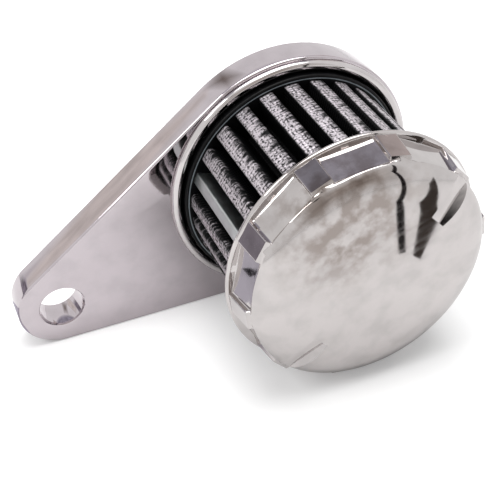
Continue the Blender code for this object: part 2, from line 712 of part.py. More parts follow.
def main():
    clear_scene()
    parts = new_collection("crankcase_breather_filter")
    cutters = new_collection("cutters")
    mounting_plate(parts, cutters)
    base_cup(parts)
    seals(parts)
    hose_nipple(parts)
    lock_washer(parts, cutters)
    lock_nut(parts, cutters)
    base_end_ring(parts, cutters)
    inner_tube(parts, cutters)
    pleat_pack(parts)
    seam_strip(parts)
    top_end_disc(parts, cutters)
    top_cap(parts, cutters)
    lay_down(parts, cutters)


main()
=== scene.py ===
"""Crankcase breather filter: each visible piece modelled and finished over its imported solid."""

from math import acos, atan, atan2, cos, floor, pi, radians, sin, sqrt, tan

import bmesh
import bpy
from bpy.props import FloatProperty, FloatVectorProperty, IntProperty, PointerProperty
from bpy.types import Operator, Panel, PropertyGroup
from mathutils import Matrix, Vector


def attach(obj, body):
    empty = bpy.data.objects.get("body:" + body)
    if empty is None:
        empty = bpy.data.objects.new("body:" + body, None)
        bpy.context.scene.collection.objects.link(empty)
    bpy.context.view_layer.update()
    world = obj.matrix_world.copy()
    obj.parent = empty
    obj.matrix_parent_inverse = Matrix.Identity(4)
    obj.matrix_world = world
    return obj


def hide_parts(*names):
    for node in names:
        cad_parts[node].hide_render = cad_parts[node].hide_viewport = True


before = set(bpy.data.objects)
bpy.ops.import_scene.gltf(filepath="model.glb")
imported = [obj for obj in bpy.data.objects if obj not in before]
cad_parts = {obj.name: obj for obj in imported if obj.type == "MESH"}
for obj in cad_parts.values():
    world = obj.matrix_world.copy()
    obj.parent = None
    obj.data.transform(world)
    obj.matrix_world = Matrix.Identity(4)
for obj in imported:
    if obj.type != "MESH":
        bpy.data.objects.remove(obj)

bl_info = {
    "name": "Crankcase Breather Filter",
    "version": (1, 0, 0),
    "blender": (4, 5, 0),
    "location": "3D View > Sidebar > Breather",
    "description": "Models and finishes a pleated breather filter over its packed solids",
    "category": "Add Mesh",
}

# Sizes that decide how the part lies: on the bracket's long edge and on the cap's rim bead
BROAD_END = 0.0300
NARROW_END = 0.0100
REACH = 0.0603
EDGE_ROUND = 0.0006
RIM = 0.0289
RIM_Z = 0.0300
RIM_BEAD = 0.0006

# The point of the bracket's face on the filter's axis, the dip of that axis towards the cap, and
# the turn that lays the bracket's long edge on the table
FACE_CENTRE = Vector((0.018441, 0.004716, 0.02996))
AXIS_DIP = atan2(BROAD_END - RIM, RIM_Z + RIM_BEAD + EDGE_ROUND)
BRACKET_TURN = pi / 2 - acos((BROAD_END - NARROW_END) / REACH)
LYING = Matrix.Rotation(pi / 2 + AXIS_DIP, 4, "X") @ Matrix.Rotation(BRACKET_TURN, 4, "Z")
LAY = Matrix.Translation(FACE_CENTRE) @ LYING

# Clearance between pieces that seat on each other, radius of the hole for the nipple's shank, and
# the turn of the element's seam about the axis
SEAT_GAP = 0.0003
SHANK_HOLE = 0.0073
SEAM_TURN = radians(143)

# Facets round a turned piece, millimetres in a metre, and where the lamps and cards point
ROUND_STEPS = 192
MM = 1000
PART_MIDDLE = Vector((0, 0, 0.03))
WHITE = (1, 1, 1, 1)


def linear(code):
    """Turn an sRGB hex colour into the linear values that the shaders take."""
    shares = [int(code[i:i + 2], 16) / 255 for i in (0, 2, 4)]
    return tuple(c / 12.92 if c <= 0.04045 else ((c + 0.055) / 1.055) ** 2.4 for c in shares)


def length(name, description, default):
    """A size in metres."""
    return FloatProperty(name=name, description=description, default=default, unit="LENGTH",
                         subtype="DISTANCE", precision=5, min=0.0)


def colour(name, description, code):
    """A colour that opens at an sRGB hex value."""
    return FloatVectorProperty(name=name, description=description, default=linear(code),
                               subtype="COLOR", size=3, min=0.0, max=1.0)


class BracketSizes(PropertyGroup):
    big: length("Broad end", "Radius of the bracket's end under the filter", BROAD_END)
    small: length("Narrow end", "Radius of the bracket's end round the bolt hole", NARROW_END)
    reach: length("Reach", "Distance between the centres of the two ends", REACH)
    thick: length("Thickness", "Thickness of the bracket", 0.0076)
    edge: length("Edge round", "Radius worn on the bracket's edges in polishing", EDGE_ROUND)
    bolt: length("Bolt hole", "Radius of the bolt hole", 0.0052)
    seat: length("Counterbore", "Radius of the counterbore that seats the filter", 0.0281)
    seat_deep: length("Counterbore depth", "Depth of the counterbore", 0.0042)


class FootSizes(PropertyGroup):
    cup_inner: length("Cup", "Inside radius of the spun cup", 0.0271)
    sheet: length("Cup sheet", "Thickness of the cup's sheet", 0.0007)
    floor: length("Cup floor", "Depth of the cup's underside below the bracket's face", 0.0028)
    corner: length("Cup corner", "Bend radius at the cup's floor", 0.0012)
    bead: length("Bead", "Radius of the rolled rim, to the middle of its sheet", 0.0008)
    gap: length("Seat gap", "Clearance under the bead", SEAT_GAP)
    ring_top: length("Base ring", "Height of the moulded ring above the bracket's face", 0.0023)
    ring_bore: length("Base ring bore", "Radius of the moulded ring's opening", 0.0125)
    lip: length("Lip round", "Radius of the moulded ring's lip", 0.0005)


class ElementSizes(PropertyGroup):
    slots: IntProperty(name="Slots", description="Pleats round the element, the seam's slot among them",
                       default=26, min=6)
    crest: length("Crest", "Radius at the pleats' outer folds", 0.0254)
    valley: length("Valley", "Radius at the pleats' inner folds", 0.0183)
    crest_half: length("Crest width", "Half of a pleat's width at its crest", 0.0018)
    root_half: length("Root width", "Half of a pleat's width at its root", 0.0016)
    crest_round: length("Crest bend", "Bend radius at the pleats' crests", 0.0011)
    valley_round: length("Valley bend", "Bend radius at the pleats' roots", 0.00045)
    wire: length("Screen", "Thickness of the wire cloth", 0.0003)
    bottom: length("Bottom", "Lower edge of the sheet above the bracket's face", 0.0004)
    top: length("Top", "Upper edge of the sheet above the bracket's face", 0.0318)
    pitch: length("Weave", "Spacing of the cloth's wires", 0.00085)
    seam_half: length("Seam", "Half of the seam strip's width", 0.00135)
    seam_sheet: length("Seam sheet", "Thickness of the seam strip", 0.00045)


class CapSizes(PropertyGroup):
    rim_z: length("Rim height", "Height of the cap's open end above the bracket's face", RIM_Z)
    rim: length("Rim", "Radius of the beaded rim", RIM)
    rim_round: length("Rim bead", "Radius of the bead round the rim", RIM_BEAD)
    back: length("Panel, back", "Distance of the flat panels from the axis at the rim", 0.0272)
    front: length("Panel, front", "Distance of the flat panels from the axis at the front", 0.02585)
    wall: length("Wall length", "Length of the cap's wall along the axis", 0.0077)
    sheet: length("Wall sheet", "Thickness of the wall", 0.0006)
    face: length("Face sheet", "Thickness of the domed face", 0.0020)
    rise: length("Dome", "Rise of the domed face above the wall", 0.0040)
    flat: length("Flat", "Radius of the flat middle of the face", 0.0172)
    brim: length("Brim", "Radius that the round face keeps over the panels", 0.0268)
    ribs: IntProperty(name="Ribs", description="Ribs round the wall", default=10, min=3)
    rib_half: FloatProperty(name="Rib width", description="Half of a rib's width about the axis",
                            default=radians(5.1), subtype="ANGLE")
    phase: FloatProperty(name="Turn", description="Turn of the first rib about the axis",
                         default=radians(24), subtype="ANGLE")
    rib_back: length("Rib, back", "Height of a rib over the panels at the rim", 0.00135)
    rib_front: length("Rib, front", "Height of a rib over the panels at the front", 0.0016)
    rib_end: length("Rib end", "Length of the slope at a rib's front end", 0.0007)
    notch: length("Notch", "Distance from the axis to the start of a notch", 0.0170)
    notch_half: length("Notch width", "Half of the width of a notch's floor", 0.0016)


class TurnedSizes(PropertyGroup):
    shank: length("Shank", "Radius of the nipple's threaded shank", 0.0070)
    bore: length("Bore", "Radius of the nipple's bore", 0.0036)
    flange: length("Flange", "Radius of the nipple's flange", 0.0110)
    flange_top: length("Flange top", "Height of the flange above the bracket's face", 0.0015)
    flange_thick: length("Flange thickness", "Thickness of the flange", 0.0020)
    relief: length("Relief", "Radius of the groove behind the thread", 0.0050)
    runout: length("Runout", "Length of the groove and of the thread past the nut", 0.0012)
    crest: length("Barb", "Radius of the barbs", 0.0056)
    root: length("Barb root", "Radius between the barbs", 0.0048)
    pitch: length("Barb spacing", "Distance from barb to barb", 0.0038)
    thread: length("Thread", "Pitch of the shank's thread", 0.0010)
    washer: length("Washer", "Outer radius of the split washer", 0.0108)
    washer_thick: length("Washer thickness", "Thickness of the split washer", 0.0014)
    flats: length("Nut", "Width of the nut across its flats", 0.0210)
    nut_thick: length("Nut thickness", "Thickness of the nut", 0.0055)


class FinishColours(PropertyGroup):
    plate: colour("Bracket", "Polished chrome of the bracket", "C0B8BC")
    cap: colour("Cap", "Polished chrome of the cap", "C4BFBE")
    cup: colour("Cup", "Polished chrome of the spun cup", "C9C4C4")
    zinc: colour("Plating", "Bright zinc of the nipple, nut and tube", "BDBFC2")
    spring: colour("Spring steel", "Dark zinc of the split washer", "6E7074")
    rubber: colour("Rubber", "Black nitrile rubber", "070708")
    wire: colour("Wire", "Bright wire of the screen", "D2CBD0")
    # Black of the oiled gauze, which also serves as painted shade down the screen's folds
    gauze_and_fold_shade: colour("Folds", "Oil-dark gauze seen through the screen", "070708")
    seam: colour("Seam", "Bare steel of the seam strip", "C2C6C6")


# Shapes


def facing_out(shape):
    """Turn the faces outwards."""
    bmesh.ops.recalc_face_normals(shape, faces=shape.faces)
    return shape


def closed_up(shape):
    """Merge the points that lie together and turn the faces outwards."""
    bmesh.ops.remove_doubles(shape, verts=shape.verts, dist=1e-7)
    return facing_out(shape)


def spun(section, steps=ROUND_STEPS, closed=True):
    """Turn a section of (radius, height) points once round the axis."""
    shape = bmesh.new()
    points = [shape.verts.new((r, 0, z)) for r, z in section]
    pairs = list(zip(points, points[1:])) + ([(points[-1], points[0])] if closed else [])
    edges = [shape.edges.new(pair) for pair in pairs]
    bmesh.ops.spin(shape, geom=points + edges, cent=(0, 0, 0), axis=(0, 0, 1), dvec=(0, 0, 0),
                   angle=2 * pi, steps=steps, use_merge=True)
    return closed_up(shape)


def bend(centre, radius, start, end, steps):
    """Points of an arc in a section."""
    turns = [start + (end - start) * i / steps for i in range(steps + 1)]
    return [(centre[0] + radius * cos(a), centre[1] + radius * sin(a)) for a in turns]


def skin(rings, steps, angle_of):
    """Loft round rings, each drawn out to its own outline by a function of the angle."""
    shape = bmesh.new()
    points = [shape.verts.new((1, 0, i)) for i in range(len(rings))]
    edges = [shape.edges.new(pair) for pair in zip(points, points[1:])]
    bmesh.ops.spin(shape, geom=points + edges, cent=(0, 0, 0), axis=(0, 0, 1), dvec=(0, 0, 0),
                   angle=2 * pi, steps=steps, use_merge=True)
    bmesh.ops.remove_doubles(shape, verts=shape.verts, dist=1e-5)
    for v in shape.verts:
        turn = angle_of(atan2(v.co.y, v.co.x) % (2 * pi))
        r, z = rings[round(v.co.z)](turn)
        v.co = (r * cos(turn), r * sin(turn), z)
    open_edges = [e for e in shape.edges if e.is_boundary]
    bmesh.ops.holes_fill(shape, edges=open_edges, sides=0)
    return facing_out(shape)


def to_object(shape, name, material=None):
    """Turn a finished shape into an object of the scene."""
    mesh = bpy.data.meshes.new(name)
    shape.to_mesh(mesh)
    shape.free()
    if material:
        mesh.materials.append(material)
    piece = bpy.data.objects.new(name, mesh)
    bpy.context.scene.collection.objects.link(piece)
    return piece


def seat(shape, name, material, slot, node, sharp=35):
    """Lay a finished shape down as the part lies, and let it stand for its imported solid."""
    bmesh.ops.transform(shape, verts=shape.verts, matrix=LAY)
    piece = to_object(shape, name, material)
    piece.data.shade_smooth()
    piece.data.set_sharp_from_angle(angle=radians(sharp))
    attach(piece, "root")
    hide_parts(node)
    return piece


def teardrop(shape, sizes, inset, height):
    """Edge loop of the bracket's outline, moved in by a distance."""
    lean = acos(-(sizes.big - sizes.small) / sizes.reach)
    ends = []
    edges = []
    for centre, radius, start, sweep, steps in (
            (0.0, sizes.big - inset, -lean, 2 * lean, 120),
            (-sizes.reach, sizes.small - inset, lean, 2 * (pi - lean), 60)):
        first = shape.verts.new((centre + radius * cos(start), radius * sin(start), height))
        before = set(shape.edges)
        done = bmesh.ops.spin(shape, geom=[first], cent=(centre, 0, height), axis=(0, 0, 1),
                              dvec=(0, 0, 0), angle=sweep, steps=steps)
        last = vertices_in(done["geom_last"]).pop()
        edges += [e for e in shape.edges if e not in before]
        ends.append((first, last))
    (big_first, big_last), (small_first, small_last) = ends
    edges.append(shape.edges.new((big_last, small_first)))
    edges.append(shape.edges.new((small_last, big_first)))
    return edges


def round_loop(shape, centre, radius, height, steps):
    """Edge loop of a circle."""
    made = bmesh.ops.create_circle(shape, cap_ends=False, radius=radius, segments=steps,
                                   matrix=Matrix.Translation((centre, 0, height)))
    return list({e for v in made["verts"] for e in v.link_edges})


def bridge(shape, loops):
    """Join each edge loop to the next with a band of faces."""
    for a, b in zip(loops, loops[1:]):
        bmesh.ops.bridge_loops(shape, edges=a + b)


def bracket_shape(s):
    """Thick teardrop plate with rounded edges, a bolt hole and a counterbore."""
    shape = bmesh.new()
    steps = 6
    turns = [pi / 2 * i / steps for i in range(steps + 1)]
    front = [(s.edge * (1 - sin(a)), -s.edge * (1 - cos(a))) for a in turns]
    back = [(inset, -s.thick - z) for inset, z in front[::-1]]
    outer = [teardrop(shape, s, inset, z) for inset, z in front + back]
    bridge(shape, outer)
    brink = 0.0003
    tips = [(brink * (1 - sin(a)), -brink * (1 - cos(a))) for a in turns[::2]]
    levels = [(s.bolt + step, z) for step, z in tips]
    levels += [(r, -s.thick - z) for r, z in levels[::-1]]
    bolt = [round_loop(shape, -s.reach, r, z, ROUND_STEPS // 2) for r, z in levels]
    bridge(shape, bolt)
    lip = round_loop(shape, 0.0, s.seat, 0.0, ROUND_STEPS)
    foot = round_loop(shape, 0.0, s.seat, -s.seat_deep, ROUND_STEPS)
    inner = round_loop(shape, 0.0, SHANK_HOLE, -s.seat_deep, ROUND_STEPS // 2)
    under = round_loop(shape, 0.0, SHANK_HOLE, -s.thick, ROUND_STEPS // 2)
    bridge(shape, [lip, foot])
    bridge(shape, [inner, under])
    for loops in ((outer[0], bolt[0], lip), (outer[-1], bolt[-1], under), (foot, inner)):
        bmesh.ops.triangle_fill(shape, use_beauty=True, edges=[e for loop in loops for e in loop])
    return closed_up(shape)


def cup_shape(s):
    """Middle of the cup's sheet: floor, bend, wall, and the rim rolled outwards."""
    level = s.sheet / 2 - s.floor
    wall = s.cup_inner + s.sheet / 2
    section = [(SHANK_HOLE, level)]
    section += bend((wall - s.corner, level + s.corner), s.corner, -pi / 2, 0, 6)
    section += bend((wall + s.bead, s.gap), s.bead, pi, 0, 24)
    return spun(section, closed=False)


def ring_shape(s):
    """Moulded ring with a rounded lip."""
    outer = s.cup_inner - s.gap
    low = s.sheet - s.floor + s.gap
    section = [(s.ring_bore, low), (s.ring_bore, s.ring_top)]
    section += bend((outer - s.lip, s.ring_top - s.lip), s.lip, pi / 2, 0, 8)
    section += [(outer, low + s.corner), (outer - s.corner, low)]
    return spun(section)


def vertices_in(geometry):
    """The set of vertices in a list of geometry."""
    return {item for item in geometry if isinstance(item, bmesh.types.BMVert)}


def pleat_wire(shape, s):
    """The folded outline as a wire loop, and its vertices at the crests and at the roots."""
    crests = []
    roots = []
    loop = []
    for slot in range(1, s.slots):
        turn = Matrix.Rotation(SEAM_TURN + slot * 2 * pi / s.slots, 3, "Z")
        finger = [shape.verts.new(turn @ Vector(p)) for p in (
            (s.valley, -s.root_half, s.bottom), (s.crest, -s.crest_half, s.bottom),
            (s.crest, s.crest_half, s.bottom), (s.valley, s.root_half, s.bottom))]
        crests += finger[1:3]
        roots += [finger[0], finger[3]]
        loop += finger
    for a, b in zip(loop, loop[1:] + loop[:1]):
        shape.edges.new((a, b))
    return crests, roots


def walk(shape):
    """The wire loop's vertices in order."""
    shape.verts.ensure_lookup_table()
    first = shape.verts[0]
    order = [first]
    edge = first.link_edges[0]
    while True:
        following = edge.other_vert(order[-1])
        if following is first:
            return order
        order.append(following)
        edge = next(e for e in following.link_edges if e is not edge)


def screen_shape(s):
    """Wire cloth folded into pleats, with a map of the distance along and up the cloth."""
    shape = bmesh.new()
    crests, roots = pleat_wire(shape, s)
    run_up = 0.62
    for corners, radius in ((crests, s.crest_round), (roots, s.valley_round)):
        bmesh.ops.bevel(shape, geom=corners, offset=radius * run_up, offset_type="OFFSET", segments=6,
                        profile=0.5, affect="VERTICES", material=-1, clamp_overlap=True)
    along = shape.verts.layers.float.new("along")
    order = walk(shape)
    done = 0.0
    for before, now in zip(order, order[1:]):
        done += (now.co - before.co).length
        now[along] = done
    whole = done + (order[0].co - order[-1].co).length
    levels = 24
    edges = shape.edges[:]
    for _ in range(levels):
        made = bmesh.ops.extrude_edge_only(shape, edges=edges)["geom"]
        risen = vertices_in(made)
        edges = [item for item in made if isinstance(item, bmesh.types.BMEdge)
                 and all(v in risen for v in item.verts)]
        bmesh.ops.translate(shape, verts=list(risen), vec=(0, 0, (s.top - s.bottom) / levels))
    bmesh.ops.recalc_face_normals(shape, faces=shape.faces)
    cloth = shape.loops.layers.uv.new("cloth")
    for face in shape.faces:
        far = max(loop.vert[along] for loop in face.loops)
        for loop in face.loops:
            run = loop.vert[along]
            if far - run > whole / 2:
                run += whole
            loop[cloth].uv = (run * MM, loop.vert.co.z * MM)
    return shape


def seam_shape(s):
    """Folded strip over the ends of the cloth, a channel open towards the axis."""
    half_gap = 2 * pi / s.slots
    inner = s.valley * cos(half_gap) + s.root_half * sin(half_gap) + SEAT_GAP
    shape = bmesh.new()
    slot = s.seam_half - s.seam_sheet
    outline = [(inner, -s.seam_half), (s.crest, -s.seam_half), (s.crest, s.seam_half),
               (inner, s.seam_half), (inner, slot), (s.crest - s.seam_sheet, slot),
               (s.crest - s.seam_sheet, -slot), (inner, -slot)]
    turn = Matrix.Rotation(SEAM_TURN, 3, "Z")
    face = shape.faces.new([shape.verts.new(turn @ Vector((x, y, s.bottom))) for x, y in outline])
    top = bmesh.ops.extrude_face_region(shape, geom=[face])["geom"]
    bmesh.ops.translate(shape, verts=list(vertices_in(top)), vec=(0, 0, s.top - s.bottom))
    outside = s.crest - 0.0001
    fold_round = 0.0004
    folds = [e for e in shape.edges if all(v.co.xy.length > outside for v in e.verts)
             and abs(e.verts[0].co.z - e.verts[1].co.z) > fold_round]
    bmesh.ops.bevel(shape, geom=folds, offset=fold_round, offset_type="OFFSET", segments=5, profile=0.5,
                    affect="EDGES", material=-1)
    return facing_out(shape)


def between(x, knots):
    """Read a height between the knots of a broken line."""
    for (x0, y0), (x1, y1) in zip(knots, knots[1:]):
        if x <= x1:
            return y0 + (y1 - y0) * (x - x0) / (x1 - x0)
    return knots[-1][1]


def cap_shape(s):
    """Cap with flat panels between its ribs, a beaded rim and a closed inside."""
    pitch = 2 * pi / s.ribs
    steps = 72 * s.ribs
    edge = s.rib_half
    rounding = radians(0.55)
    # Share of the way from a rib's middle to a panel's, and the angle there: steps gather at the edge
    crisp = [(0, 0), (0.14, edge - rounding), (0.36, edge), (0.5, edge + radians(0.5)), (1, pitch / 2)]

    def angle_of(turn):
        share = turn / pitch
        nearest = floor(share + 0.5)
        off = (share - nearest) * 2
        way = -1 if off < 0 else 1
        return s.phase + nearest * pitch + way * between(abs(off), crisp)

    def off_rib(turn):
        return abs((turn - s.phase + pitch / 2) % pitch - pitch / 2)

    # A rib's section: shares of its height that its rounded edge and the fillet at its foot take,
    # and the widths of its side and of the fillet, in rounding angles
    drop = 0.24
    fillet = 0.12
    side = 0.25
    fillet_width = 0.66

    def rib_share(off):
        """1 on a rib's top, 0 on the panel, with a rounded edge above and a fillet below."""
        out = (off - edge) / rounding
        if out <= -1:
            return 1.0
        if out <= 0:
            return 1 - drop * (1 - sqrt(1 - (1 + out) ** 2))
        if out <= side:
            return 1 - drop - (1 - drop - fillet) * out / side
        return max(0.0, fillet * (1 - (out - side) / fillet_width))

    def panel(z):
        """Distance of a panel from the axis."""
        return s.back + (s.front - s.back) * (z - s.rim_z) / s.wall

    def rib_top(z):
        """Distance of a rib's top from the axis, with a slope past the wall that ends in the dome."""
        sunk = 0.0003
        share = (z - s.rim_z) / s.wall
        high = s.rib_back + (s.rib_front - s.rib_back) * share
        past = max(0.0, z - s.rim_z - s.wall)
        return panel(min(z, s.rim_z + s.wall)) + high - past * (s.rib_front + sunk) / s.rib_end

    def on_wall(base_of, z):
        """Ring at a height: the base outline, with the ribs raised over it."""
        def outline(turn):
            off = off_rib(turn)
            from_panel = pitch / 2 - off
            base = base_of(from_panel)
            share = rib_share(off)
            if not share:
                return base, z
            lift = rib_top(z) / cos(off) - base
            return base + max(0.0, lift) * share, z
        return outline

    def flat_sided(z):
        return on_wall(lambda off: panel(z) / cos(off), z)

    def rounded(radius, z):
        return on_wall(lambda off: radius, z)

    across = s.front - s.flat
    start = atan((s.back - s.front) / s.wall * s.rise / across)
    tall = s.rise / (1 - sin(start))
    front = s.rim_z + s.wall

    def dome_ring(a):
        """Ring of the dome, which starts with flat sides and soon rounds out to its brim."""
        z = front + tall * (sin(a) - sin(start))
        soon = radians(12)
        share = min(1.0, (a - start) / soon)
        share = share * share * (3 - 2 * share)

        def base(off):
            brim = (1 - share) * s.front / cos(off) + share * s.brim
            return s.flat + (brim - s.flat) * cos(a) / cos(start)
        return on_wall(base, z)

    ledge = s.rim_z + 2 * s.rim_round
    foot = ledge + 0.0003

    def fillet_ring(out, up):
        """Ring of the small fillet between a panel's foot and the bead."""
        fade = 0.3
        return on_wall(lambda off: panel(ledge) / cos(off) + out * max(0.0, 1 - off / fade), ledge + up)

    # The dome's rings lie closer together towards the brim
    dome_rings = 36
    wall_rings = 8
    rings = [dome_ring(start + (pi / 2 - start) * (1 - i / dome_rings) ** 1.5)
             for i in range(dome_rings + 1)]
    rings += [flat_sided(front - (front - foot) * i / wall_rings) for i in range(1, wall_rings + 1)]
    rings += [fillet_ring(out, up) for out, up in ((0.00002, 0.00015), (0.00008, 0.00006), (0.0002, 0.0))]
    bead = (s.rim - s.rim_round, s.rim_z + s.rim_round)
    below = 0.00001
    rings += [rounded(r, z - below) for r, z in bend(bead, s.rim_round, pi / 2, -pi / 2, 12)]
    deep = front - s.face / 2
    plain = [(panel(s.rim_z) - s.sheet, s.rim_z - below), (s.front - s.sheet, deep)]
    plain += [(s.flat + (across - s.sheet) * cos(a), deep + (s.rise - s.face) * sin(a))
              for a in (pi / 8, pi / 4, pi * 3 / 8, pi / 2)]
    rings += [lambda turn, p=p: p for p in plain]
    return skin(rings, steps, angle_of)


def notch_shape(s, angle):
    """Cutter of a notch: a trough whose flat floor falls outwards between steep sides."""
    deep = 0.0007
    fall = 0.26
    slope = 1.4
    high = s.rise
    top = s.rim_z + s.wall + s.rise - deep
    shape = bmesh.new()
    corners = []
    for r in (s.notch, s.rim):
        keel = top - (r - s.notch) * fall
        wide = s.notch_half + high / slope
        corners += [(r, -s.notch_half, keel), (r, s.notch_half, keel),
                    (r, -wide, keel + high), (r, wide, keel + high)]
    turn = Matrix.Rotation(angle, 4, "Z")
    bmesh.ops.convex_hull(shape, input=[shape.verts.new(turn @ Vector(p)) for p in corners])
    return facing_out(shape)


def cut(piece, shape):
    """Take a cutter's space out of a piece, which keeps its name and its finish."""
    bmesh.ops.transform(shape, verts=shape.verts, matrix=LAY)
    tool = to_object(shape, "cutter")
    taking = piece.modifiers.new("cut", "BOOLEAN")
    taking.operation = "DIFFERENCE"
    taking.solver = "EXACT"
    taking.object = tool
    graph = bpy.context.evaluated_depsgraph_get()
    result = bpy.data.meshes.new_from_object(piece.evaluated_get(graph), depsgraph=graph)
    piece.modifiers.remove(taking)
    piece.data = result
    bpy.data.objects.remove(tool)


def nipple_shape(s, back):
    """Turned nipple with its flange, relief groove, barbs and bore."""
    flange = s.flange_top - s.flange_thick
    edge = s.flange_thick / 5
    shank_end = back - SEAT_GAP - s.washer_thick - SEAT_GAP - s.nut_thick - s.runout
    relief = shank_end - s.runout
    mouth = 0.0003
    section = [(s.bore, s.flange_top - mouth), (s.bore + mouth, s.flange_top)]
    section += [(s.flange - edge, s.flange_top)]
    section += bend((s.flange - edge, s.flange_top - edge), edge, pi / 2, 0, 6)[1:]
    section += [(s.flange, flange), (s.shank, flange)]
    turns = round((flange - shank_end - edge) / (s.thread / 2))
    step = (flange - shank_end - edge) / turns
    groove = s.thread * 0.45
    section += [(s.shank - (groove if i % 2 else 0.0), flange - i * step) for i in range(1, turns)]
    section += [(s.shank, shank_end + edge), (s.shank - edge, shank_end), (s.relief, shank_end)]
    section += [(s.relief, relief)]
    barbs = 4
    ramp = s.pitch * 0.12
    for i in range(barbs):
        top = relief - i * s.pitch
        section += [(s.root, top), (s.crest, top - ramp), (s.crest, top - 2 * ramp)]
    tip = relief - barbs * s.pitch
    blunt = 0.0002
    section += [(s.root, tip + blunt), (s.root - blunt, tip), (s.bore + blunt, tip), (s.bore, tip + blunt)]
    return spun(section, 96)


def washer_shape(s, back):
    """Split spring washer, its ends cut at a slant."""
    low = back - SEAT_GAP - s.washer_thick
    inner = s.shank + SEAT_GAP
    shape = bmesh.new()
    points = [shape.verts.new(p) for p in (
        (inner, 0, low), (s.washer, 0, low), (s.washer, 0, low + s.washer_thick),
        (inner, 0, low + s.washer_thick))]
    face = shape.faces.new(points)
    slant = tan(radians(20)) * s.washer_thick / 2
    for v in points:
        v.co.y = slant if v.co.z > low + s.washer_thick / 2 else -slant
    slit = 0.0012
    open_by = slit / s.washer
    start = -pi / 2 + open_by / 2
    bmesh.ops.rotate(shape, verts=shape.verts, cent=(0, 0, 0), matrix=Matrix.Rotation(start, 3, "Z"))
    bmesh.ops.spin(shape, geom=[face], cent=(0, 0, 0), axis=(0, 0, 1), dvec=(0, 0, 0),
                   angle=2 * pi - open_by, steps=90)
    return facing_out(shape)


def nut_shape(s, back):
    """Hexagonal nut: its corners are turned off on both faces."""
    top = back - SEAT_GAP - s.washer_thick - SEAT_GAP
    low = top - s.nut_thick
    hole = s.shank + SEAT_GAP
    lead_in = 0.0005
    flat = s.flats / 2 * 0.97

    def hexagon(turn):
        return s.flats / 2 / cos((turn + pi / 6) % (pi / 3) - pi / 6)

    def edge(z, side):
        def outline(turn):
            r = hexagon(turn)
            return r, z - side * (r - flat) * tan(radians(30))
        return outline

    def even(r, z):
        return lambda turn: (r, z)

    rings = [even(hole, top - lead_in), even(hole + lead_in, top), even(flat, top), edge(top, 1),
             edge(low, -1), even(flat, low), even(hole + lead_in, low), even(hole, low + lead_in)]
    shape = skin(rings, 144, lambda turn: turn)
    lids = [f for f in shape.faces if len(f.verts) > 4]
    bmesh.ops.delete(shape, geom=lids, context="FACES_ONLY")
    open_edges = [e for e in shape.edges if e.is_boundary]
    bmesh.ops.bridge_loops(shape, edges=open_edges)
    return facing_out(shape)


# Finishes


def add(tree, kind, settings=(), links=()):
    """Add a shader node with its settings and links. A link from a node takes its first output."""
    node = tree.nodes.new("ShaderNode" + kind)
    for key, value in dict(settings).items():
        if isinstance(key, str) and hasattr(node, key):
            setattr(node, key, value)
        else:
            node.inputs[key].default_value = value
    for key, source in dict(links).items():
        output = source.outputs[0] if isinstance(source, bpy.types.Node) else source
        tree.links.new(output, node.inputs[key])
    return node


def begin(name):
    """An empty node material."""
    material = bpy.data.materials.new(name)
    material.use_nodes = True
    material.node_tree.nodes.clear()
    return material, material.node_tree


def end(tree, shader):
    """Send a shader to the surface."""
    add(tree, "OutputMaterial", links={"Surface": shader})


def on_part(tree):
    """Place on the upright part in metres: x and y across the filter's axis, z along it."""
    place = add(tree, "TexCoord").outputs["Object"]
    settings = {"vector_type": "TEXTURE", "Location": FACE_CENTRE, "Rotation": LYING.to_euler()}
    return add(tree, "Mapping", settings, {"Vector": place})


def off_axis(tree, place):
    """Distance from the filter's axis."""
    across = add(tree, "VectorMath", {"operation": "MULTIPLY", 1: (1, 1, 0)}, {0: place})
    return add(tree, "VectorMath", {"operation": "LENGTH"}, {0: across}).outputs["Value"]


def shade(rgb, share=1.0):
    """A colour scaled in brightness, with an alpha of 1."""
    return (*(c * share for c in rgb), 1.0)


